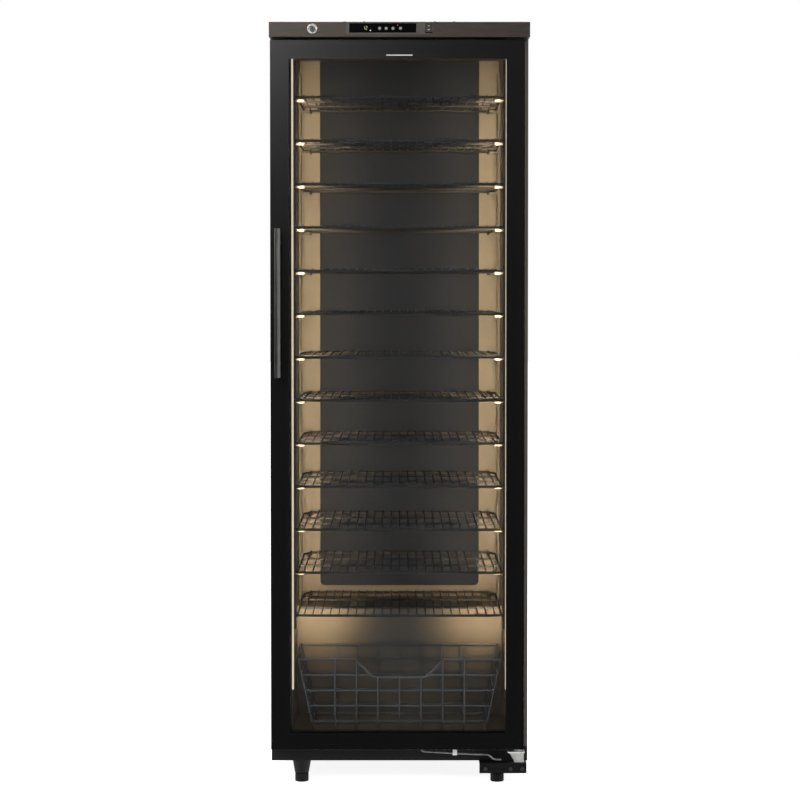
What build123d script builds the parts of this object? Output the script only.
from build123d import *
from math import radians, tan
import os

# Free-standing wine cooler with a full-height glass door, in millimetres.
# X is the width (hinges at +X), Z is the height above the floor, and the front faces -Y.
# Depths are measured backwards from the door's front plane, and at_depth turns them into Y.

DOOR_FRONT_Y = -281.0

# cabinet
BODY_HALF = 297.5
BODY_BOTTOM = 52.0
BODY_TOP = 1757.0
BODY_FRONT = 50.0
BODY_REAR = 570.0
SHEET = 1.2
SHELL_BOTTOM = 54.0
FLANGE_INNER = 272.0
TOP_FLANGE_Z = 1733.0

# inner compartment
ROOM_HALF = 250.0
ROOM_FLOOR = 108.0
ROOM_CEILING = 1722.0
ROOM_BACK = 515.0
LINTEL_Z = 1688.0
LINTEL_BACK = 90.0
STEP_FRONT = 328.0
STEP_TOP = 372.0
LINER = 1.5
MACHINE_FRONT = 374.0
MACHINE_TOP = 326.0

# front header with the controls and the lock
HEADER_HALF = 298.5
HEADER_BOTTOM = 1723.0
HEADER_TOP = 1758.0
HEADER_WALL = 2.2
CONTROL_Z = 1743.0
BEZEL_LEFT = -121.0
BEZEL_RIGHT = 77.0
BEZEL_BOTTOM = 1730.0
BEZEL_TOP = 1756.0
LENS_LEFT = -115.0
LENS_RIGHT = 38.4
LENS_BOTTOM = 1733.0
LENS_TOP = 1754.7
KEY_XS = (-45.3, -30.4, -14.8, 2.4)
KEY_RADIUS = 3.5
ROCKER_X = 67.0
ROCKER_PIVOT_DEPTH = 5.0
ROCKER_STUB_RADIUS = 1.0
LOCK_X = -199.0
LOCK_Z = 1742.0
CAM_REACH = 32.0
CAM_HALF_WIDTH = 6.0
CAM_FRONT = 25.0
CAM_BACK = 28.0
CAM_GAP = 3.0

# door
DOOR_LEFT = -296.0
DOOR_RIGHT = 287.0
DOOR_BOTTOM = 87.0
DOOR_TOP = 1717.0
DOOR_BACK = 40.0
GLASS = 4.0
INNER_GLASS_FRONT = 20.0
FRAME_OUTER = 20.0
FRAME_INNER = 38.0
FRAME_STEP_DEPTH = 24.5
FRAME_WALL = 2.0
GASKET_OUTER = 20.0
GASKET_WIDTH = 17.0
GASKET_BACK = 49.6
HINGE_X = 273.0
HINGE_DEPTH = 24.0
PIN_RADIUS = 4.0
RUNNING_GAP = 0.05
HANDLE_LEFT = -284.6
HANDLE_RIGHT = -271.6
HANDLE_BOTTOM = 946.0
HANDLE_TOP = 1286.0
HANDLE_FRONT = -38.0
HANDLE_BACK = -24.0
HANDLE_POST_INSET = 32.0
BAR_RADIUS = 2.0

# shelves and basket
SHELF_COUNT = 13
SHELF_LOWEST = 383.0
SHELF_PITCH = 101.0
SHELF_FRONT = 100.0
SHELF_REAR = 500.0
SHELF_HALF = 242.5
SHELF_REAR_HALF = 225.0
FRAME_WIRE = 3.0
SIDE_WIRE = 2.5
DECK_WIRE = 1.5
DECK_PITCH = 20.3
DECK_WIRES_EACH_SIDE = 11
WELD = 0.35
PILASTER_FACE = 243.5
BASKET_FRONT = 93.0
BASKET_REAR = 312.0
BASKET_RIM = 281.0
BASKET_BASE = 111.0
BASKET_RIM_HALF = 239.0
BASKET_BASE_HALF = 202.0
BASKET_PITCH = 50.5
BASKET_WIRE = 1.9
BASKET_RIM_WIRE = 2.6
BASKET_UPRIGHT = 1.7
BASKET_FLAT = BASKET_WIRE - WELD
UPRIGHT_LAYER = BASKET_FLAT + BASKET_UPRIGHT - WELD
BASKET_LEVELS = (244.0, 208.0, 172.0, 136.0, 112.9)
DIP_BASE_HALF = 60.0
DIP_TOP_HALF = 105.0
DIP_Z = 239.0

# feet and rollers
FOOT_X = 228.0
FOOT_DEPTH = 70.0
STUD_RADIUS = 5.0
STUD_TOP = 48.0
PAD_RADIUS = 15.8
PAD_TOP = 20.0
ROLLER_RADIUS = 20.0
ROLLER_DEPTH = 520.0

# cooling
CONDENSER_DEPTH = 584.0
CONDENSER_TUBE = 2.5
CONDENSER_PITCH = 62.0
CONDENSER_PASSES = 19
CONDENSER_BOTTOM = 430.0
CONDENSER_HALF = 195.0

# condenser fan in the machine compartment
FAN_X = 112.0
FAN_Z = 150.0
FAN_FRONT = 438.0
FAN_BACK = 474.0
FAN_THROAT = 56.0
SPINDLE_RADIUS = 2.5
HUB_FRONT = 447.0
HUB_BACK = 465.0


def at_depth(depth):
    """The Y of a depth behind the door's front plane."""
    return DOOR_FRONT_Y + depth


def block(x_range, depth_range, z_range):
    """A box from its width, depth and height ranges."""
    low = Vector(x_range[0], at_depth(depth_range[0]), z_range[0])
    high = Vector(x_range[1], at_depth(depth_range[1]), z_range[1])
    size = high - low
    middle = (low + high) * 0.5
    return Pos(middle.X, middle.Y, middle.Z) * Box(size.X, size.Y, size.Z)


def bar(first, last, radius):
    """A round bar between two points of the frame it is drawn in."""
    run = Vector(*last) - Vector(*first)
    shaft = Cylinder(radius, run.length, align=(Align.CENTER, Align.CENTER, Align.MIN))
    return Plane(origin=first, z_dir=run) * shaft


def rod(start, end, radius):
    """A round bar between two points, each given as (x, depth, z)."""
    return bar((start[0], at_depth(start[1]), start[2]), (end[0], at_depth(end[1]), end[2]), radius)


def wire_grid(lower, upper, flat):
    """Two layers of wires, drawn flat in XY, that are welded together on the plane z = flat."""
    reach = 1400.0
    thick = 40.0
    above = Pos(0, 0, flat + thick / 2) * Box(reach, reach, thick)
    below = Pos(0, 0, flat - thick / 2) * Box(reach, reach, thick)
    return (joined(lower) - above) + (joined(upper) - below)


def front_prism(points, depth_range):
    """A front-view outline of (x, z) points, as thick as a depth range."""
    outline = Polyline([(x, z) for x, z in points], close=True)
    face = Plane.XZ.offset(-at_depth(depth_range[0])) * make_face(outline)
    return extrude(face, -(depth_range[1] - depth_range[0]))


def side_prism(points, x_range):
    """A side-view outline of (depth, z) points, as wide as an X range."""
    outline = Polyline([(at_depth(depth), z) for depth, z in points], close=True)
    face = Plane.YZ.offset(x_range[0]) * make_face(outline)
    return extrude(face, x_range[1] - x_range[0])


def both_sides(shape):
    """A shape and its mirror image across the middle of the cooler."""
    return [shape, mirror(shape, Plane.YZ)]


def group(solids):
    """Separate solids of one sub-part."""
    return Compound([solid for shape in solids for solid in shape.solids()])


def joined(shapes):
    """Shapes welded into one solid."""
    return shapes[0] + list(shapes[1:])


def z_edges_at(shape, x_limit):
    """Upright edges at least x_limit from the middle plane."""
    return [edge for edge in shape.edges().filter_by(Axis.Z) if abs(edge.center().X) > x_limit]


# ---------------------------------------------------------------- cabinet


def outer_shell():
    """Painted steel wrapper: two sides and a top with folded flanges."""
    inner = BODY_HALF - SHEET
    rear = BODY_REAR - 1.0
    rear_flange = 14.0
    foot_flange = 17.0
    bend_radius = 1.0
    side = block((inner, BODY_HALF), (BODY_FRONT, rear), (SHELL_BOTTOM, BODY_TOP))
    front = block((FLANGE_INNER, inner), (BODY_FRONT, BODY_FRONT + SHEET), (SHELL_BOTTOM, BODY_TOP))
    back = block((inner - rear_flange, inner), (rear - SHEET, rear), (SHELL_BOTTOM, BODY_TOP))
    foot = block((inner - foot_flange, inner), (BODY_FRONT, rear), (SHELL_BOTTOM, SHELL_BOTTOM + SHEET))
    sides = both_sides(joined([side, front, back, foot]))
    top = block((-inner, inner), (BODY_FRONT, rear), (BODY_TOP - SHEET, BODY_TOP))
    lip = block((-FLANGE_INNER, FLANGE_INNER), (BODY_FRONT, BODY_FRONT + SHEET),
                (TOP_FLANGE_Z, BODY_TOP))
    back_lip = block((-inner, inner), (rear - SHEET, rear), (BODY_TOP - rear_flange, BODY_TOP))
    shell = joined(sides + [top, lip, back_lip])
    upright = z_edges_at(shell, BODY_HALF - 0.01)
    corners = [edge for edge in upright if edge.center().Y < at_depth(BODY_FRONT + 1)]
    return fillet(corners, bend_radius)


def back_panel():
    """Flat steel back above the machine compartment, stiffened by two pressed beads."""
    bead_x = 120.0
    bead_radius = 6.0
    bead_rise = 2.5
    thickness = 1.0
    top = BODY_TOP - 2.0
    sheet = block((-296.0, 296.0), (BODY_REAR - thickness, BODY_REAR), (MACHINE_TOP, top))
    bead = rod((bead_x, BODY_REAR - bead_radius + bead_rise, MACHINE_TOP + 40.0),
               (bead_x, BODY_REAR - bead_radius + bead_rise, top - 40.0), bead_radius)
    outside = block((0.0, 296.0), (BODY_REAR - thickness, BODY_REAR + 10.0), (MACHINE_TOP, top))
    return joined([sheet] + both_sides(bead & outside))


def base_pan():
    """Steel tray under the cabinet with the kick flange, and the two roller forks welded to it."""
    plate = 1.8
    kick_top = 85.0
    kick_front = 48.0
    kick_half = BODY_HALF - 0.8
    floor_sheet = block((-BODY_HALF, BODY_HALF), (kick_front, BODY_REAR - 2.0),
                        (BODY_BOTTOM, BODY_BOTTOM + plate))
    kick = block((-kick_half, kick_half), (kick_front, kick_front + plate), (BODY_BOTTOM, kick_top))
    return group([floor_sheet + kick] + both_sides(roller_fork()))


def roller_fork():
    """One downward fork that holds the rear axle on both sides of a roller."""
    ear = 2.5
    inner_x = 234.0
    outer_x = 264.0
    half_depth = 16.0
    ear_bottom = 9.0
    depths = (ROLLER_DEPTH - half_depth, ROLLER_DEPTH + half_depth)
    crown = block((inner_x - ear, outer_x + ear), depths, (BODY_BOTTOM - ear, BODY_BOTTOM))
    ears = [block((x, x + ear), depths, (ear_bottom, BODY_BOTTOM)) for x in (inner_x - ear, outer_x)]
    hole = rod((inner_x - 10.0, ROLLER_DEPTH, ROLLER_RADIUS),
               (outer_x + 10.0, ROLLER_DEPTH, ROLLER_RADIUS),
               PIN_RADIUS + RUNNING_GAP)
    return joined([crown] + ears) - hole


def inner_liner():
    """Moulded inner liner: walls, floor, ceiling, the step over the machine space and the front rim."""
    skin_half = ROOM_HALF + LINER
    outside = block((-skin_half, skin_half), (BODY_FRONT, ROOM_BACK + LINER),
                    (ROOM_FLOOR - LINER, ROOM_CEILING + LINER))
    outside -= block((-skin_half, skin_half), (STEP_FRONT + LINER, ROOM_BACK + LINER),
                     (ROOM_FLOOR - LINER, STEP_TOP - LINER))
    outside -= block((-skin_half, skin_half), (BODY_FRONT, LINTEL_BACK - LINER),
                     (LINTEL_Z + LINER, ROOM_CEILING + LINER))
    room = block((-ROOM_HALF, ROOM_HALF), (BODY_FRONT, ROOM_BACK), (ROOM_FLOOR, ROOM_CEILING))
    room -= block((-ROOM_HALF, ROOM_HALF), (STEP_FRONT, ROOM_BACK), (ROOM_FLOOR, STEP_TOP))
    room -= block((-ROOM_HALF, ROOM_HALF), (BODY_FRONT, LINTEL_BACK), (LINTEL_Z, ROOM_CEILING))
    rim_half = FLANGE_INNER - 0.2
    rim = block((-rim_half, rim_half), (BODY_FRONT, BODY_FRONT + LINER), (85.3, TOP_FLANGE_Z - 0.2))
    rim -= block((-ROOM_HALF, ROOM_HALF), (BODY_FRONT, BODY_FRONT + LINER), (ROOM_FLOOR, LINTEL_Z))
    return (outside - room) + rim


def foam_core():
    """Insulating foam between the shell and the liner, as one slab per wall."""
    outer = BODY_HALF - SHEET
    inner = ROOM_HALF + LINER
    front = BODY_FRONT + LINER
    rear = BODY_REAR - 1.0 - SHEET
    low = SHELL_BOTTOM + SHEET
    high = BODY_TOP - SHEET
    step_low = ROOM_FLOOR - LINER
    step_high = STEP_TOP - LINER
    across = (-inner, inner)
    side = block((inner, outer), (front, rear), (low, high))
    ceiling = block(across, (front, rear), (ROOM_CEILING + LINER, high))
    lintel = block(across, (front, LINTEL_BACK - LINER), (LINTEL_Z + LINER, ROOM_CEILING + LINER))
    back = block(across, (ROOM_BACK + LINER, rear), (step_high, ROOM_CEILING + LINER))
    step = block(across, (STEP_FRONT + LINER, rear), (MACHINE_TOP, step_high))
    riser = block(across, (STEP_FRONT + LINER, MACHINE_FRONT), (step_low, MACHINE_TOP))
    ground = block(across, (front, MACHINE_FRONT), (low, step_low))
    return group(both_sides(side) + [ceiling, lintel, back, step, riser, ground])


def machine_lining():
    """Sheet steel lining of the machine space: front wall, ceiling, sides and the flanges over the foam."""
    thick = 1.0
    half = ROOM_HALF + LINER
    flange_outer = BODY_HALF - SHEET - 14.3
    rear = BODY_REAR - 1.0 - SHEET
    low = SHELL_BOTTOM + SHEET
    front = block((-half, half), (MACHINE_FRONT, MACHINE_FRONT + thick), (low, MACHINE_TOP))
    ceiling = block((-half, half), (MACHINE_FRONT, rear), (MACHINE_TOP - thick, MACHINE_TOP))
    side = block((half - thick, half), (MACHINE_FRONT, rear), (low, MACHINE_TOP))
    flange = block((half - thick, flange_outer), (rear, rear + thick), (low, MACHINE_TOP))
    return joined([front, ceiling] + both_sides(side + flange))


def wall_spacers():
    """Two plastic stand-offs that keep the back away from a wall."""
    foot = block((250.0, 282.0), (BODY_REAR, 600.0), (1640.0, 1672.0))
    foot = fillet(foot.edges().filter_by(Axis.Y), 6.0)
    foot -= block((254.0, 278.0), (BODY_REAR, 596.0), (1644.0, 1668.0))
    return group(both_sides(foot))


def cabinet_screws():
    """Pan-head screws: four on top of the header, and those of the hinge bracket and hinge plate."""
    head_height = 2.0
    solids = []
    for x in (-125.0, -81.0, 81.0, 125.0):
        head = Pos(x, at_depth(14.0), HEADER_TOP + head_height / 2) * Cylinder(4.0, head_height)
        head = chamfer(head.edges().filter_by(GeomType.CIRCLE).sort_by(Axis.Z)[-1], 0.8)
        solids.append(head - cross_recess(x, HEADER_TOP + head_height))
    for x in (199.0, 257.0, 284.0):
        screw = rod((x, 17.6, 38.0), (x, 20.0, 38.0), 4.2)
        solids.append(fillet(screw.edges().sort_by(Axis.Y)[0], 1.4))
    for x in (256.0, 283.0):
        screw = rod((x, 42.7, 72.0), (x, 44.9, 72.0), 3.4)
        solids.append(fillet(screw.edges().sort_by(Axis.Y)[0], 1.2))
    return group(solids)


def cross_recess(x, top):
    """A cross-shaped driver recess for a screw head that faces upwards."""
    depth = 1.1
    place = Pos(x, at_depth(14.0), top - depth / 2)
    return place * (Box(4.6, 1.0, depth) + Box(1.0, 4.6, depth))


# ---------------------------------------------------------------- header and controls


def header_fascia():
    """Hollow header over the door, open at the back, with the lock hole and the control window."""
    depth_range = (0.0, BODY_FRONT)
    edge_radius = 1.6
    lip_back = 46.0
    case = block((-HEADER_HALF, HEADER_HALF), depth_range, (HEADER_BOTTOM, HEADER_TOP))
    front_edges = [edge for edge in case.edges() if edge.center().Y < at_depth(1.0)]
    case = fillet(front_edges + case.edges().filter_by(Axis.Y), edge_radius)
    hollow = block((HEADER_WALL - HEADER_HALF, HEADER_HALF - HEADER_WALL), (HEADER_WALL, BODY_FRONT),
                   (HEADER_BOTTOM + HEADER_WALL, HEADER_TOP - HEADER_WALL))
    back_gap = block((-HEADER_HALF, HEADER_HALF), (lip_back, BODY_FRONT), (HEADER_BOTTOM, TOP_FLANGE_Z))
    window = block((BEZEL_LEFT, BEZEL_RIGHT), (-1.0, HEADER_WALL + 1.0), (BEZEL_BOTTOM, BEZEL_TOP))
    lock_hole = rod((LOCK_X, -1.0, LOCK_Z), (LOCK_X, HEADER_WALL + 1.0, LOCK_Z), 9.6)
    slot = block((LOCK_X - CAM_REACH - CAM_GAP, LOCK_X + CAM_HALF_WIDTH + CAM_GAP),
                 (CAM_FRONT - CAM_GAP, CAM_BACK + CAM_GAP),
                 (HEADER_BOTTOM - 1.0, HEADER_BOTTOM + HEADER_WALL + 1.0))
    shell = case - [hollow, back_gap, window, lock_hole, slot]
    over_shell = block((-BODY_HALF, BODY_HALF), (BODY_FRONT - 0.01, BODY_FRONT), (BODY_TOP, HEADER_TOP))
    return shell + over_shell


def control_bezel():
    """Inset control panel with the window for the display lens and ears for the rocker's pivot."""
    front = -0.4
    back = HEADER_WALL
    rocker_half_x = 8.25
    rocker_half_z = 11.5
    ear_back = 8.0
    panel = block((BEZEL_LEFT, BEZEL_RIGHT), (front, back), (BEZEL_BOTTOM, BEZEL_TOP))
    panel = fillet(panel.edges().filter_by(Axis.Y), 2.0)
    lens_seat = block((LENS_LEFT, LENS_RIGHT), (front, back), (LENS_BOTTOM, LENS_TOP))
    rocker_gap = block((ROCKER_X - rocker_half_x, ROCKER_X + rocker_half_x), (front, back),
                       (CONTROL_Z - rocker_half_z, CONTROL_Z + rocker_half_z))
    ears = [block((low, low + 1.6), (back, ear_back), (CONTROL_Z - 5.0, CONTROL_Z + 5.0))
            for low in (ROCKER_X - rocker_half_x - 1.7, ROCKER_X + rocker_half_x + 0.1)]
    pivot = rocker_rod(12.0, ROCKER_STUB_RADIUS + RUNNING_GAP)
    return joined([panel - [lens_seat, rocker_gap]] + ears) - pivot


def rocker_rod(half_length, radius):
    """Round bar along the rocker's pivot."""
    return rod((ROCKER_X - half_length, ROCKER_PIVOT_DEPTH, CONTROL_Z),
               (ROCKER_X + half_length, ROCKER_PIVOT_DEPTH, CONTROL_Z), radius)


def display_lens():
    """Glossy dark lens over the display, with a hole for each key."""
    gap = 0.1
    hole_radius = KEY_RADIUS + 0.3
    lens = block((LENS_LEFT + gap, LENS_RIGHT - gap), (-0.6, 1.8), (LENS_BOTTOM + gap, LENS_TOP - gap))
    lens = fillet(lens.edges().filter_by(Axis.Y), 1.2)
    holes = [rod((x, -2.0, CONTROL_Z), (x, 3.0, CONTROL_Z), hole_radius) for x in KEY_XS]
    return lens - holes


def key(x):
    """One round push key that stands just proud of the lens."""
    cap = rod((x, -1.2, CONTROL_Z), (x, 6.0, CONTROL_Z), KEY_RADIUS)
    return fillet(cap.edges().sort_by(Axis.Y)[0], 0.5)


def control_board():
    """Circuit board behind the lens with key switches, a display block and a transformer."""
    board = block((-112.0, 52.0), (14.0, 15.6), (1732.0, 1754.0))
    switches = [
        block((x - 3.0, x + 3.0), (8.0, 14.0), (CONTROL_Z - 3.0, CONTROL_Z + 3.0))
        for x in KEY_XS
    ]
    digits = block((-92.0, -62.0), (4.0, 14.0), (1735.0, 1751.0))
    transformer = block((10.0, 44.0), (15.6, 36.0), (1733.0, 1753.0))
    return joined([board, digits, transformer] + switches)


def rocker_switch():
    """Rocker with a shallow V front, latched with its upper half flush, on two pivot stubs."""
    half_width = 7.85
    half_height = 10.3
    tilt = 8.0
    front = 5.5
    rear = 2.0
    reach = front + half_height * tan(radians(tilt))
    outline = [(-front, 0.0), (-reach, half_height), (rear, half_height - 1.0),
               (rear, 1.0 - half_height), (-reach, -half_height)]
    points = [(ROCKER_PIVOT_DEPTH + depth, CONTROL_Z + height) for depth, height in outline]
    body = side_prism(points, (ROCKER_X - half_width, ROCKER_X + half_width))
    stub = rocker_rod(9.7, ROCKER_STUB_RADIUS)
    axis = Axis((ROCKER_X, at_depth(ROCKER_PIVOT_DEPTH), CONTROL_Z), (1, 0, 0))
    return (body + stub).rotate(axis, -tilt)


def lock_barrel():
    """Fixed lock cylinder with its polished escutcheon ring."""
    barrel = rod((LOCK_X, 0.0, LOCK_Z), (LOCK_X, 24.0, LOCK_Z), 9.5)
    ring = rod((LOCK_X, -2.2, LOCK_Z), (LOCK_X, 0.0, LOCK_Z), 11.7)
    ring = fillet(ring.edges().sort_by(Axis.Y)[0], 1.2)
    bore = rod((LOCK_X, -3.0, LOCK_Z), (LOCK_X, 25.0, LOCK_Z), 6.5 + RUNNING_GAP)
    groove = rod((LOCK_X, -3.0, LOCK_Z), (LOCK_X, 2.5, LOCK_Z), 8.9)
    return barrel + ring - [bore, groove]


def lock_plug():
    """Turning plug with a keyway, and the cam that it swings down into the door."""
    plug = rod((LOCK_X, -1.8, LOCK_Z), (LOCK_X, CAM_FRONT, LOCK_Z), 6.5)
    keyway = block((LOCK_X - 0.9, LOCK_X + 0.9), (-3.0, 8.0), (LOCK_Z - 4.0, LOCK_Z + 4.0))
    tip = (LOCK_X - CAM_REACH, LOCK_X + CAM_HALF_WIDTH)
    cam = block(tip, (CAM_FRONT, CAM_BACK), (LOCK_Z - CAM_HALF_WIDTH, LOCK_Z + CAM_HALF_WIDTH))
    cam = fillet(cam.edges().filter_by(Axis.Y), 4.0)
    nut = rod((LOCK_X, CAM_BACK, LOCK_Z), (LOCK_X, CAM_BACK + 3.0, LOCK_Z), 5.0)
    return joined([plug - keyway, cam, nut])


# ---------------------------------------------------------------- hinges


def hinge_pin(low, high):
    """An upright hinge pin on the door's axis."""
    return rod((HINGE_X, HINGE_DEPTH, low), (HINGE_X, HINGE_DEPTH, high), PIN_RADIUS)


def front_corners(shape, depth_limit):
    """Upright edges of a plate in front of the given depth."""
    return [edge for edge in shape.edges().filter_by(Axis.Z) if edge.center().Y < at_depth(depth_limit)]


def hinge_top():
    """Upper hinge: a plate in the gap over the door, its pin, and the upstand screwed to the cabinet."""
    plate = block((240.0, 292.0), (10.0, BODY_FRONT), (1719.0, 1722.5))
    plate = fillet(front_corners(plate, 11.0), 8.0)
    upstand = block((240.0, 292.0), (46.8, BODY_FRONT), (1719.0, 1750.0))
    return joined([plate, upstand, hinge_pin(1702.0, 1720.0)])


def hinge_bottom():
    """Black lower bracket under the cabinet, with two pressed slots and a hole for the right foot."""
    plate = block((185.0, 294.0), (20.0, 112.0), (49.0, BODY_BOTTOM))
    flange = block((185.0, 294.0), (20.0, 23.0), (28.0, BODY_BOTTOM))
    cheek = block((291.0, 294.0), (20.0, 112.0), (28.0, BODY_BOTTOM))
    foot_hole = rod((FOOT_X, FOOT_DEPTH, 40.0), (FOOT_X, FOOT_DEPTH, 60.0), STUD_RADIUS + 1.5)
    slots = [block((x - 6.0, x + 6.0), (19.0, 21.2), (36.0, 40.0)) for x in (217.0, 239.0)]
    return joined([plate, flange, cheek]) - ([foot_hole] + slots)


def hinge_plate():
    """Zinc plate that carries the lower hinge pin, with a triangular web down to the bracket."""
    top = 80.0
    arm = block((250.0, 289.0), (8.0, 47.9), (top - 3.0, top))
    arm = fillet(front_corners(arm, 9.0), 6.0)
    outline = [(250.0, top), (289.0, top), (289.0, BODY_BOTTOM), (266.0, BODY_BOTTOM)]
    web = front_prism(outline, (44.9, 47.9))
    foot = block((266.0, 289.0), (28.0, 47.9), (BODY_BOTTOM, BODY_BOTTOM + 2.5))
    washer = rod((HINGE_X, HINGE_DEPTH, top), (HINGE_X, HINGE_DEPTH, 85.0), 8.0)
    return joined([arm, web, foot, washer, hinge_pin(top, 102.0)])


def hinge_bushes():
    """Flanged nylon bushes pressed into the door frame, one on each pin."""
    tube_radius = 5.5
    flange_radius = 8.5
    flange = 1.6
    length = 17.0
    upper = bush(DOOR_TOP - length, DOOR_TOP, tube_radius)
    upper += bush(DOOR_TOP, DOOR_TOP + flange, flange_radius)
    lower = bush(DOOR_BOTTOM, DOOR_BOTTOM + length, tube_radius)
    lower += bush(DOOR_BOTTOM - flange, DOOR_BOTTOM, flange_radius)
    return group([upper, lower])


def bush(low, high, radius):
    """A tube around the hinge pin with running clearance."""
    ends = (HINGE_X, HINGE_DEPTH, low), (HINGE_X, HINGE_DEPTH, high)
    return rod(*ends, radius) - rod(*ends, PIN_RADIUS + RUNNING_GAP)


# ---------------------------------------------------------------- door


def outer_glass():
    """Full-face outer pane, drilled for the two handle studs."""
    pane = block((DOOR_LEFT, DOOR_RIGHT), (0.0, GLASS), (DOOR_BOTTOM, DOOR_TOP))
    pane = fillet(pane.edges().filter_by(Axis.Y), 2.0)
    pane = chamfer(pane.faces().sort_by(Axis.Y)[0].edges(), 0.8)
    holes = [rod((handle_x(), -1.0, z), (handle_x(), GLASS + 1.0, z), 3.2) for z in handle_posts()]
    return pane - holes


def inner_glass():
    """Inner pane of the insulating glass."""
    inset = FRAME_OUTER + 0.5
    return block((DOOR_LEFT + inset, DOOR_RIGHT - inset), (INNER_GLASS_FRONT, INNER_GLASS_FRONT + GLASS),
                 (DOOR_BOTTOM + inset, DOOR_TOP - inset))


def ring_strips(inset, width, depth_range):
    """Four mitred strips that follow the door's outline, inset from its edge."""
    left = DOOR_LEFT + inset
    right = DOOR_RIGHT - inset
    low = DOOR_BOTTOM + inset
    high = DOOR_TOP - inset
    outlines = [
        [(left, high), (right, high), (right - width, high - width), (left + width, high - width)],
        [(left, low), (right, low), (right - width, low + width), (left + width, low + width)],
        [(left, low), (left, high), (left + width, high - width), (left + width, low + width)],
        [(right, low), (right, high), (right - width, high - width), (right - width, low + width)],
    ]
    return [front_prism(outline, depth_range) for outline in outlines]


def glass_spacer():
    """Warm-edge spacer between the two panes."""
    return group(ring_strips(FRAME_OUTER + 0.5, 11.0, (GLASS, INNER_GLASS_FRONT)))


def door_gasket():
    """Magnetic gasket welded from four mitred lengths on the back of the door frame."""
    strips = ring_strips(GASKET_OUTER, GASKET_WIDTH, (DOOR_BACK, GASKET_BACK))
    return group([strip - fold for strip, fold in zip(strips, gasket_folds())])


def gasket_folds():
    """The groove along each length of gasket, between its magnet chamber and its bellows."""
    return ring_strips(GASKET_OUTER + 6.0, 3.0, (GASKET_BACK - 5.0, GASKET_BACK))


def door_frame():
    """Four mitred aluminium lengths, hollow, with a rebate for the inner pane."""
    outer_tubes = ring_strips(0.0, FRAME_OUTER, (GLASS, DOOR_BACK))
    inner_tubes = ring_strips(FRAME_OUTER, FRAME_INNER - FRAME_OUTER, (FRAME_STEP_DEPTH, DOOR_BACK))
    wall = FRAME_WALL
    outer_hollows = ring_strips(wall, FRAME_OUTER - 2 * wall, (GLASS + wall, DOOR_BACK - wall))
    inner_hollows = ring_strips(FRAME_OUTER - wall, FRAME_INNER - FRAME_OUTER, (FRAME_STEP_DEPTH + wall,
                                                                               DOOR_BACK - wall))
    lengths = [
        (tube + ledge) - [hollow, inner_hollow]
        for tube, ledge, hollow, inner_hollow in zip(outer_tubes, inner_tubes, outer_hollows, inner_hollows)
    ]
    top, bottom, left, right = lengths
    bush_hole = rod((HINGE_X, HINGE_DEPTH, DOOR_BOTTOM), (HINGE_X, HINGE_DEPTH, DOOR_TOP), 5.5)
    slot = block((LOCK_X - 29.0, LOCK_X + 9.0), (CAM_FRONT - CAM_GAP, CAM_BACK + CAM_GAP),
                 (DOOR_TOP - 5.0, DOOR_TOP + 1.0))
    top = top - [bush_hole, slot]
    bottom = bottom - bush_hole
    return group([top, bottom, left, right])


def handle_x():
    """The middle of the handle's width."""
    return (HANDLE_LEFT + HANDLE_RIGHT) / 2


def handle_posts():
    """Heights of the handle's two posts."""
    return (HANDLE_BOTTOM + HANDLE_POST_INSET, HANDLE_TOP - HANDLE_POST_INSET)


def door_handle():
    """Upright bar with one broad chamfer, on two posts whose studs pass through the outer pane."""
    chamfer_x = 5.6
    chamfer_depth = 5.6
    edge = 0.5
    outline = [
        (HANDLE_LEFT, HANDLE_FRONT),
        (HANDLE_RIGHT - chamfer_x, HANDLE_FRONT),
        (HANDLE_RIGHT, HANDLE_FRONT + chamfer_depth),
        (HANDLE_RIGHT, HANDLE_BACK),
        (HANDLE_LEFT, HANDLE_BACK),
    ]
    section = Polyline([(x, at_depth(depth)) for x, depth in outline], close=True)
    bar = extrude(Plane.XY.offset(HANDLE_BOTTOM) * make_face(section), HANDLE_TOP - HANDLE_BOTTOM)
    bar = fillet(bar.edges(), edge)
    pieces = [bar]
    for z in handle_posts():
        pieces.append(rod((handle_x(), HANDLE_BACK - 1.0, z), (handle_x(), 0.0, z), 5.0))
        pieces.append(rod((handle_x(), -2.5, z), (handle_x(), 0.0, z), 7.2))
        pieces.append(rod((handle_x(), 0.0, z), (handle_x(), GLASS, z), 3.0))
    return joined(pieces)


def torsion_bar():
    """Self-closing spring bar under the door, bent down to a hook beside the hinge plate."""
    depth = at_depth(14.0)
    route = [(50.0, 84.0), (56.0, 80.5), (128.0, 76.0), (206.0, 72.5), (218.0, 62.0), (235.0, 61.5)]
    bends = [3.0, 60.0, 14.0, 12.0]
    path = FilletPolyline([(x, depth, z) for x, z in route], radius=bends)
    start = path @ 0
    section = Plane(origin=start, z_dir=path % 0) * Circle(BAR_RADIUS)
    return sweep(section, path=path)


def bar_clips():
    """Clip that hangs the spring bar from the door's lower edge."""
    clip = block((123.0, 133.0), (9.5, 18.5), (72.0, DOOR_BOTTOM))
    clip = fillet(clip.edges().filter_by(Axis.X).sort_by(Axis.Z)[:2], 2.5)
    return clip - rod((112.0, 14.0, 77.4), (144.0, 14.0, 75.2), BAR_RADIUS + 0.5)


# ---------------------------------------------------------------- inside the compartment


def shelf_height(number):
    """Height of a shelf's frame wires, where shelf 1 is the topmost."""
    return SHELF_LOWEST + SHELF_PITCH * (SHELF_COUNT - number)


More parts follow.
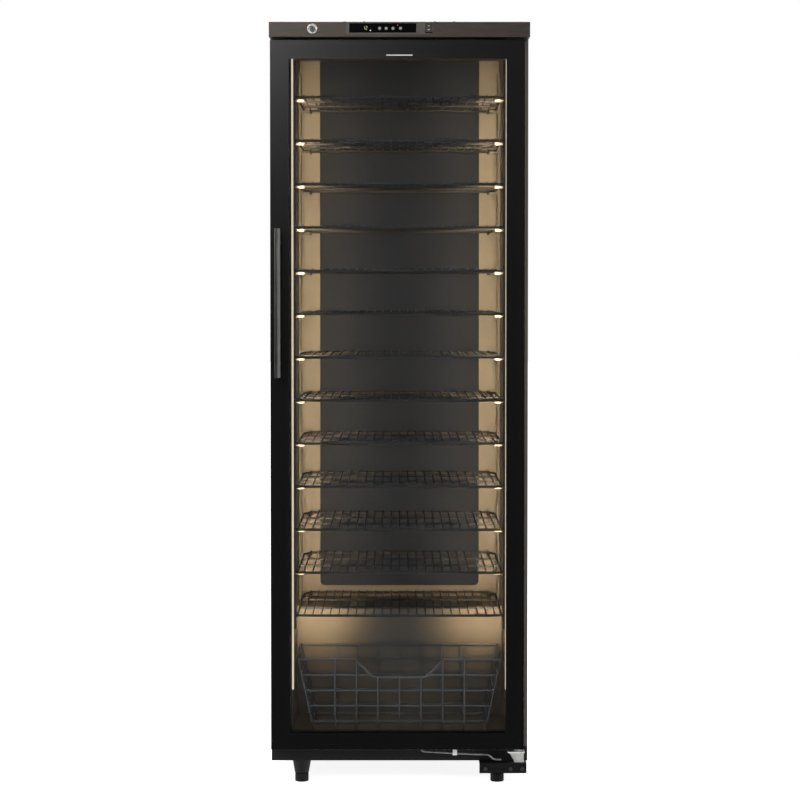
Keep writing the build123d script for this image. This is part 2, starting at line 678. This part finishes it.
def wire_shelf():
    """Welded wire shelf at height zero: frame wires, two cross wires and the deck wires on top."""
    front = at_depth(SHELF_FRONT)
    rear = at_depth(SHELF_REAR)
    corner = rear - 32.0
    side_x = SHELF_HALF - FRAME_WIRE
    rear_x = SHELF_REAR_HALF - SIDE_WIRE
    cross_ys = (front + 132.0, front + 266.0)
    stub = 8.0
    lower = [
        bar((-SHELF_HALF, front, 0.0), (SHELF_HALF, front, 0.0), FRAME_WIRE),
        bar((-SHELF_REAR_HALF, rear, 0.0), (SHELF_REAR_HALF, rear, 0.0), FRAME_WIRE),
    ]
    for y in cross_ys:
        lower.append(bar((-side_x, y, 0.0), (side_x, y, 0.0), FRAME_WIRE))
    for side in (-1, 1):
        lower.append(bar((side * side_x, front, 0.0), (side * side_x, corner, 0.0), SIDE_WIRE))
        lower.append(Pos(side * side_x, corner, 0.0) * Sphere(SIDE_WIRE))
        lower.append(bar((side * side_x, corner, 0.0), (side * rear_x, rear, 0.0), SIDE_WIRE))
        lower.append(bar((side * rear_x, rear, 0.0), (side * rear_x, rear, -stub), SIDE_WIRE))
    flat = FRAME_WIRE - WELD
    deck_z = flat + DECK_WIRE - WELD
    overhang = 1.5
    upper = [
        bar((index * DECK_PITCH, front - overhang, deck_z),
            (index * DECK_PITCH, rear + overhang, deck_z), DECK_WIRE)
        for index in range(-DECK_WIRES_EACH_SIDE, DECK_WIRES_EACH_SIDE + 1)
    ]
    return wire_grid(lower, upper, flat)


def shelf_clips():
    """Zinc tongues hooked into the pilasters, four under each shelf."""
    tongue_tip = 221.5
    tongue_top = -FRAME_WIRE
    tongue_drop = 8.5
    solids = []
    for number in range(1, SHELF_COUNT + 1):
        z = shelf_height(number)
        for depth in (140.0, 450.0):
            tongue = block((tongue_tip, PILASTER_FACE), (depth - 6.0, depth + 6.0),
                           (z - tongue_drop, z + tongue_top))
            tongue = fillet(tongue.edges().filter_by(Axis.Z).sort_by(Axis.X)[:2], 4.0)
            hook = block((PILASTER_FACE, ROOM_HALF - 1.6), (depth - 2.0, depth + 2.0),
                         (z - tongue_drop, z + tongue_top))
            solids += both_sides(tongue + hook)
    return group(solids)


def pilasters():
    """Four slotted uprights on the side walls that the shelf clips hook into."""
    low = 376.0
    high = LINTEL_Z - 4.0
    solids = []
    for depth in (140.0, 450.0):
        strip = block((PILASTER_FACE, ROOM_HALF), (depth - 10.0, depth + 10.0), (low - 30.0, high))
        if depth > STEP_FRONT:
            strip = block((PILASTER_FACE, ROOM_HALF), (depth - 10.0, depth + 10.0), (STEP_TOP, high))
        slots = []
        for number in range(1, SHELF_COUNT + 1):
            z = shelf_height(number)
            slots.append(block((PILASTER_FACE, ROOM_HALF - 1.5), (depth - 2.2, depth + 2.2),
                               (z - 8.7, z + 3.0)))
        solids += both_sides(strip - slots)
    return group(solids)


def led_bars():
    """Two upright light bars just inside the front opening."""
    bar = block((246.3, ROOM_HALF), (60.0, 75.0), (216.0, LINTEL_Z - 2.0))
    return group(both_sides(fillet(bar.edges().filter_by(Axis.Z).sort_by(Axis.X)[:2], 1.2)))


def basket_half_width(z):
    """Half the basket's width at a height, between its base and its rim."""
    share = (z - BASKET_BASE) / (BASKET_RIM - BASKET_BASE)
    return BASKET_BASE_HALF + share * (BASKET_RIM_HALF - BASKET_BASE_HALF)


def dip_height(x):
    """Height of the front rim, which dips in the middle for access."""
    slope = (BASKET_RIM - DIP_Z) / (DIP_TOP_HALF - DIP_BASE_HALF)
    rise = DIP_Z + slope * max(abs(x) - DIP_BASE_HALF, 0.0)
    return min(rise, BASKET_RIM)


def basket_end(dipped):
    """The front or rear grid of the basket, drawn in XY with the height along Y."""
    rim_points = [(-BASKET_RIM_HALF, BASKET_RIM), (BASKET_RIM_HALF, BASKET_RIM)]
    if dipped:
        rim_points[1:1] = [(-DIP_TOP_HALF, BASKET_RIM), (-DIP_BASE_HALF, DIP_Z), (DIP_BASE_HALF, DIP_Z),
                           (DIP_TOP_HALF, BASKET_RIM)]
    lower = []
    for (x0, z0), (x1, z1) in zip(rim_points, rim_points[1:]):
        lower.append(bar((x0, z0, 0.0), (x1, z1, 0.0), BASKET_RIM_WIRE))
        lower.append(Pos(x1, z1, 0.0) * Sphere(BASKET_RIM_WIRE))
    for z in BASKET_LEVELS:
        half = basket_half_width(z)
        if dipped and z > DIP_Z:
            gap = DIP_BASE_HALF + 6.0
            lower += [bar((side * gap, z, 0.0), (side * half, z, 0.0), BASKET_WIRE) for side in (-1, 1)]
        else:
            lower.append(bar((-half, z, 0.0), (half, z, 0.0), BASKET_WIRE))
    upper = []
    for side in (-1, 1):
        foot = (side * (BASKET_BASE_HALF - BASKET_WIRE), BASKET_BASE, UPRIGHT_LAYER)
        head = (side * (BASKET_RIM_HALF - BASKET_WIRE), BASKET_RIM, UPRIGHT_LAYER)
        upper.append(bar(foot, head, BASKET_UPRIGHT))
    for index in range(-3, 4):
        x = index * BASKET_PITCH
        top = dip_height(x) if dipped else BASKET_RIM
        upper.append(bar((x, BASKET_BASE - BASKET_WIRE, UPRIGHT_LAYER),
                         (x, top, UPRIGHT_LAYER), BASKET_UPRIGHT))
    return wire_grid(lower, upper, BASKET_FLAT)


def basket_side():
    """The right side grid, drawn in XY with the depth along X and the slope along Y."""
    length = BASKET_REAR - BASKET_FRONT - 2 * BASKET_RIM_WIRE - 0.4
    rise = BASKET_RIM - BASKET_BASE
    slope_length = (rise**2 + (BASKET_RIM_HALF - BASKET_BASE_HALF) ** 2) ** 0.5
    heights = [(z - BASKET_BASE) * slope_length / rise for z in BASKET_LEVELS]
    lower = [bar((0.0, slope_length, 0.0), (length, slope_length, 0.0), BASKET_RIM_WIRE)]
    lower += [bar((0.0, height, 0.0), (length, height, 0.0), BASKET_WIRE) for height in heights]
    upper = [
        bar((share * length, -BASKET_WIRE, UPRIGHT_LAYER),
            (share * length, slope_length, UPRIGHT_LAYER), BASKET_UPRIGHT)
        for share in (0.25, 0.5, 0.75)
    ]
    grid = wire_grid(lower, upper, BASKET_FLAT)
    foot = (BASKET_BASE_HALF, at_depth(BASKET_FRONT + BASKET_RIM_WIRE + 0.2), BASKET_BASE)
    lean = Vector(rise, 0, BASKET_BASE_HALF - BASKET_RIM_HALF)
    return Plane(origin=foot, x_dir=(0, 1, 0), z_dir=lean) * grid


def basket_floor():
    """The bottom grid of the basket, upside down so that its depth wires carry the bottles."""
    front = BASKET_FRONT + BASKET_RIM_WIRE + 0.2
    rear = BASKET_REAR - BASKET_RIM_WIRE - 0.2
    reach = BASKET_BASE_HALF - BASKET_RIM_WIRE - 0.4
    z = BASKET_BASE
    lower = [
        rod((-reach, depth, 0.0), (reach, depth, 0.0), BASKET_WIRE)
        for depth in (front + BASKET_WIRE, (front + rear) / 2, rear - BASKET_WIRE)
    ]
    upper = [
        rod((index * BASKET_PITCH, front, UPRIGHT_LAYER),
            (index * BASKET_PITCH, rear, UPRIGHT_LAYER), BASKET_UPRIGHT)
        for index in range(-3, 4)
    ]
    return Pos(0, 0, z) * wire_grid(lower, upper, BASKET_FLAT)


def basket():
    """Wire basket on the compartment floor, as its five welded grids."""
    front_plane = Plane(origin=(0, at_depth(BASKET_FRONT), 0), x_dir=(1, 0, 0), z_dir=(0, -1, 0))
    rear_plane = Plane(origin=(0, at_depth(BASKET_REAR), 0), x_dir=(-1, 0, 0), z_dir=(0, 1, 0))
    front = front_plane * basket_end(True)
    rear = rear_plane * basket_end(False)
    return group([front, rear, basket_floor()] + both_sides(basket_side()))


def evaporator_plate():
    """Cold plate on the back wall, on six stand-offs."""
    plate = block((-200.0, 200.0), (506.5, 509.5), (400.0, ROOM_CEILING - 0.5))
    plate = fillet(plate.edges().filter_by(Axis.Y).sort_by(Axis.Z)[:2], 12.0)
    stand_offs = [
        rod((x, 509.0, z), (x, ROOM_BACK, z), 7.0)
        for x in (-170.0, 170.0)
        for z in (450.0, 1040.0, 1630.0)
    ]
    return joined([plate] + stand_offs)


# ---------------------------------------------------------------- machine compartment and back


def compressor():
    """Hermetic compressor on its mounting plate, with a terminal box and four rubber feet."""
    x = -90.0
    depth = 468.0
    can_low = 76.0
    can_height = 152.0
    can_radius = 74.0
    wall = 3.5
    place = Pos(x, at_depth(depth), can_low + can_height / 2)
    can = place * fillet(Cylinder(can_radius, can_height).edges().filter_by(GeomType.CIRCLE), 34.0)
    void = place * fillet(
        Cylinder(can_radius - wall, can_height - 2 * wall).edges().filter_by(GeomType.CIRCLE), 31.0
    )
    seam = place * Cylinder(can_radius + 2.5, 7.0)
    plate = block((x - 105.0, x + 105.0), (depth - 70.0, depth + 70.0), (70.0, 73.0))
    plate = fillet(plate.edges().filter_by(Axis.Z), 16.0)
    skirt = rod((x, depth, 73.0), (x, depth, 92.0), 44.0)
    terminal = block((x + 60.0, x + 100.0), (depth - 28.0, depth + 28.0), (120.0, 176.0))
    terminal = fillet(terminal.edges().filter_by(Axis.X), 5.0)
    stubs = [rod((x - 20.0, depth + 60.0, z), (x - 20.0, depth + 88.0, z), 4.0) for z in (120.0, 176.0)]
    machine = joined([can, seam, plate, skirt, terminal] + stubs) - void
    feet = [
        rod((x + side * 88.0, depth + end * 54.0, BODY_BOTTOM + 1.8),
            (x + side * 88.0, depth + end * 54.0, 70.0), 11.0)
        for side in (-1, 1)
        for end in (-1, 1)
    ]
    return group([machine] + feet)


def fan_housing():
    """Condenser fan stand: folded plate with throat and ring guard, and the fixed motor on three arms."""
    thick = 2.5
    plate_front = FAN_BACK - thick
    plate = block((FAN_X - 70.0, FAN_X + 70.0), (plate_front, FAN_BACK), (BODY_BOTTOM + 1.8, FAN_Z + 68.0))
    foot = block((FAN_X - 70.0, FAN_X + 70.0), (plate_front - 22.0, FAN_BACK),
                 (BODY_BOTTOM + 1.8, BODY_BOTTOM + 1.8 + thick))
    tube = fan_disc(FAN_THROAT + thick, FAN_FRONT, FAN_BACK)
    throat = fan_disc(FAN_THROAT, FAN_FRONT, FAN_BACK)
    guard_front = FAN_BACK - 1.6
    rings = [
        fan_disc(radius + 1.0, guard_front, FAN_BACK) - fan_disc(radius - 1.0, guard_front, FAN_BACK)
        for radius in (18.0, 31.0, 44.0)
    ]
    spokes = [fan_strip(angle, -FAN_THROAT - 0.5, guard_front, FAN_BACK) for angle in (30.0, 90.0, 150.0)]
    stand = joined([(plate + foot + tube) - throat] + rings + spokes)
    motor = fan_disc(20.0, FAN_FRONT - 20.0, FAN_FRONT + 5.0)
    spindle = fan_disc(SPINDLE_RADIUS, FAN_FRONT + 4.0, HUB_BACK - 2.0)
    arms = [fan_strip(angle, 0.0, FAN_FRONT, FAN_FRONT + 3.0) for angle in (90.0, 210.0, 330.0)]
    return joined([stand, motor, spindle] + arms)


def fan_disc(radius, front, back):
    """Round solid about the fan axis between two depths."""
    return rod((FAN_X, front, FAN_Z), (FAN_X, back, FAN_Z), radius)


def fan_strip(angle, inner, front, back):
    """Thin radial strip of the fan stand, from the given distance along one radius out to the throat."""
    outer = FAN_THROAT + 0.5
    centre = Pos(FAN_X, at_depth((front + back) / 2), FAN_Z)
    return centre * Rot(0, -angle, 0) * Pos((inner + outer) / 2, 0, 0) * Box(outer - inner, back - front, 2.4)


def fan_blade():
    """Seven-bladed fan wheel that runs on the motor's spindle."""
    pitch_angle = 32.0
    blades = 7
    blade_length = 38.0
    blade_middle = 31.0
    hub = fan_disc(15.0, HUB_FRONT, HUB_BACK)
    hub = fillet(hub.edges().sort_by(Axis.Y)[-1], 2.0)
    centre = Pos(FAN_X, at_depth((HUB_FRONT + HUB_BACK) / 2), FAN_Z)
    vanes = [
        centre
        * Rot(0, index * 360.0 / blades, 0)
        * Pos(blade_middle, 0, 0)
        * Rot(pitch_angle, 0, 0)
        * Box(blade_length, 1.4, 17.0)
        for index in range(blades)
    ]
    bore = fan_disc(SPINDLE_RADIUS + RUNNING_GAP, HUB_FRONT - 1.0, HUB_BACK - 1.6)
    return joined([hub] + vanes) - bore


def drip_tray():
    """Plastic tray over the compressor that lets the defrost water evaporate."""
    low = 232.0
    tray = block((-190.0, 10.0), (400.0, 540.0), (low, low + 34.0))
    tray = fillet(tray.edges().filter_by(Axis.Z), 14.0)
    hollow = block((-187.0, 7.0), (403.0, 537.0), (low + 3.0, low + 35.0))
    hollow = fillet(hollow.edges().filter_by(Axis.Z), 11.0)
    return tray - hollow


def condenser():
    """Serpentine condenser tube behind the back panel, held by four brackets."""
    y = at_depth(CONDENSER_DEPTH)
    bend = CONDENSER_PITCH / 2
    pieces = []
    for index in range(CONDENSER_PASSES):
        z = CONDENSER_BOTTOM + index * CONDENSER_PITCH
        pieces.append(Edge.make_line((-CONDENSER_HALF, y, z), (CONDENSER_HALF, y, z)))
        side = 1 if index % 2 == 0 else -1
        if index < CONDENSER_PASSES - 1:
            turn = (side * (CONDENSER_HALF + bend), y, z + bend)
            ends = (side * CONDENSER_HALF, y, z), (side * CONDENSER_HALF, y, z + CONDENSER_PITCH)
            pieces.append(Edge.make_three_point_arc(ends[0], turn, ends[1]))
    path = Wire(pieces)
    section = Plane(origin=(-CONDENSER_HALF, y, CONDENSER_BOTTOM), z_dir=(1, 0, 0)) * Circle(CONDENSER_TUBE)
    tube = sweep(section, path=path)
    last = CONDENSER_BOTTOM + (CONDENSER_PASSES - 1) * CONDENSER_PITCH
    brackets = [
        rod((x, BODY_REAR, z), (x, CONDENSER_DEPTH, z), 4.0)
        for x in (-160.0, 160.0)
        for z in (CONDENSER_BOTTOM, last)
    ]
    return joined([tube] + brackets)


def condenser_wires():
    """Fine upright wires welded across the condenser tube."""
    radius = 0.8
    spacing = 13.0
    depth = CONDENSER_DEPTH + CONDENSER_TUBE + radius
    low = CONDENSER_BOTTOM - 12.0
    high = CONDENSER_BOTTOM + (CONDENSER_PASSES - 1) * CONDENSER_PITCH + 12.0
    return group([rod((index * spacing, depth, low), (index * spacing, depth, high), radius)
                  for index in range(-14, 15)])


def power_inlet():
    """Mains inlet socket on its bracket at the back, with three contact pins."""
    x = 190.0
    z = 88.0
    bracket = block((x - 26.0, x + 26.0), (555.0, 557.0), (BODY_BOTTOM + 1.8, z + 22.0))
    body = block((x - 16.0, x + 16.0), (540.0, 562.0), (z - 13.0, z + 13.0))
    body = fillet(body.edges().filter_by(Axis.Y), 3.0)
    recess = block((x - 12.0, x + 12.0), (546.0, 563.0), (z - 9.0, z + 9.0))
    pins = [block((x + dx - 1.0, x + dx + 1.0), (545.0, 558.0), (z + dz - 2.0, z + dz + 2.0))
            for dx, dz in ((-7.0, -2.0), (7.0, -2.0), (0.0, 3.0))]
    return joined([(bracket + body) - recess] + pins)


# ---------------------------------------------------------------- feet and rollers


def levelling_foot(x):
    """Foot pad with its threaded stud."""
    pad = rod((x, FOOT_DEPTH, 0.0), (x, FOOT_DEPTH, PAD_TOP), PAD_RADIUS)
    pad = fillet(pad.edges().filter_by(GeomType.CIRCLE), 1.8)
    stud = rod((x, FOOT_DEPTH, PAD_TOP - 1.0), (x, FOOT_DEPTH, STUD_TOP), STUD_RADIUS)
    return pad + stud


def foot_sockets():
    """Threaded sockets for the two feet: a tapered sleeve on the left, a hexagon nut on the right."""
    sleeve_low = PAD_TOP + 1.4
    nut_low = 27.0
    nut_high = 49.0
    place = Plane.XY.offset(sleeve_low) * Pos(-FOOT_X, at_depth(FOOT_DEPTH))
    seat = Plane.XY.offset(BODY_BOTTOM) * Pos(-FOOT_X, at_depth(FOOT_DEPTH))
    sleeve = loft([place * Circle(16.6), seat * Circle(22.0)])
    nut = extrude(Plane.XY.offset(nut_low) * Pos(FOOT_X, at_depth(FOOT_DEPTH)) * RegularPolygon(13.0, 6),
                  nut_high - nut_low)
    bores = [
        rod((side * FOOT_X, FOOT_DEPTH, sleeve_low - 1.0), (side * FOOT_X, FOOT_DEPTH, STUD_TOP + 0.5),
            STUD_RADIUS + RUNNING_GAP)
        for side in (-1, 1)
    ]
    return group([sleeve - bores[0], nut - bores[1]])


def rear_rollers():
    """Two rollers on one axle under the back edge."""
    axle_half = 268.5
    axle = rod((-axle_half, ROLLER_DEPTH, ROLLER_RADIUS),
               (axle_half, ROLLER_DEPTH, ROLLER_RADIUS), PIN_RADIUS)
    wheels = []
    for low, high in ((238.0, 260.0), (-260.0, -238.0)):
        wheel = rod((low, ROLLER_DEPTH, ROLLER_RADIUS),
                    (high, ROLLER_DEPTH, ROLLER_RADIUS), ROLLER_RADIUS)
        wheels.append(fillet(wheel.edges().filter_by(GeomType.CIRCLE), 2.5))
    return joined([axle] + wheels)


def all_parts():
    """Every sub-part by its node name."""
    parts = {
        "outer_shell": outer_shell(),
        "back_panel": back_panel(),
        "base_pan": base_pan(),
        "inner_liner": inner_liner(),
        "foam_core": foam_core(),
        "machine_lining": machine_lining(),
        "wall_spacers": wall_spacers(),
        "cabinet_screws": cabinet_screws(),
        "header_fascia": header_fascia(),
        "control_bezel": control_bezel(),
        "display_lens": display_lens(),
        "control_board": control_board(),
        "rocker_switch": rocker_switch(),
        "lock_barrel": lock_barrel(),
        "lock_plug": lock_plug(),
        "hinge_top": hinge_top(),
        "hinge_bottom": hinge_bottom(),
        "hinge_plate": hinge_plate(),
        "hinge_bushes": hinge_bushes(),
        "outer_glass": outer_glass(),
        "inner_glass": inner_glass(),
        "glass_spacer": glass_spacer(),
        "door_gasket": door_gasket(),
        "door_frame": door_frame(),
        "door_handle": door_handle(),
        "torsion_bar": torsion_bar(),
        "bar_clips": bar_clips(),
        "shelf_clips": shelf_clips(),
        "pilasters": pilasters(),
        "led_bars": led_bars(),
        "basket": basket(),
        "evaporator_plate": evaporator_plate(),
        "fan_housing": fan_housing(),
        "fan_blade": fan_blade(),
        "compressor": compressor(),
        "drip_tray": drip_tray(),
        "condenser": condenser(),
        "condenser_wires": condenser_wires(),
        "power_inlet": power_inlet(),
        "foot_left": levelling_foot(-FOOT_X),
        "foot_right": levelling_foot(FOOT_X),
        "foot_sockets": foot_sockets(),
        "rear_rollers": rear_rollers(),
    }
    for number, x in enumerate(KEY_XS, start=1):
        parts[f"key_{number}"] = key(x)
    shelf = wire_shelf()
    for number in range(1, SHELF_COUNT + 1):
        parts[f"shelf_{number:02d}"] = Pos(0, 0, shelf_height(number)) * shelf
    return parts


os.makedirs("parts", exist_ok=True)
for name, shape in all_parts().items():
    export_step(shape, f"parts/{name}.step")
    print(name, len(shape.solids()), "solids")
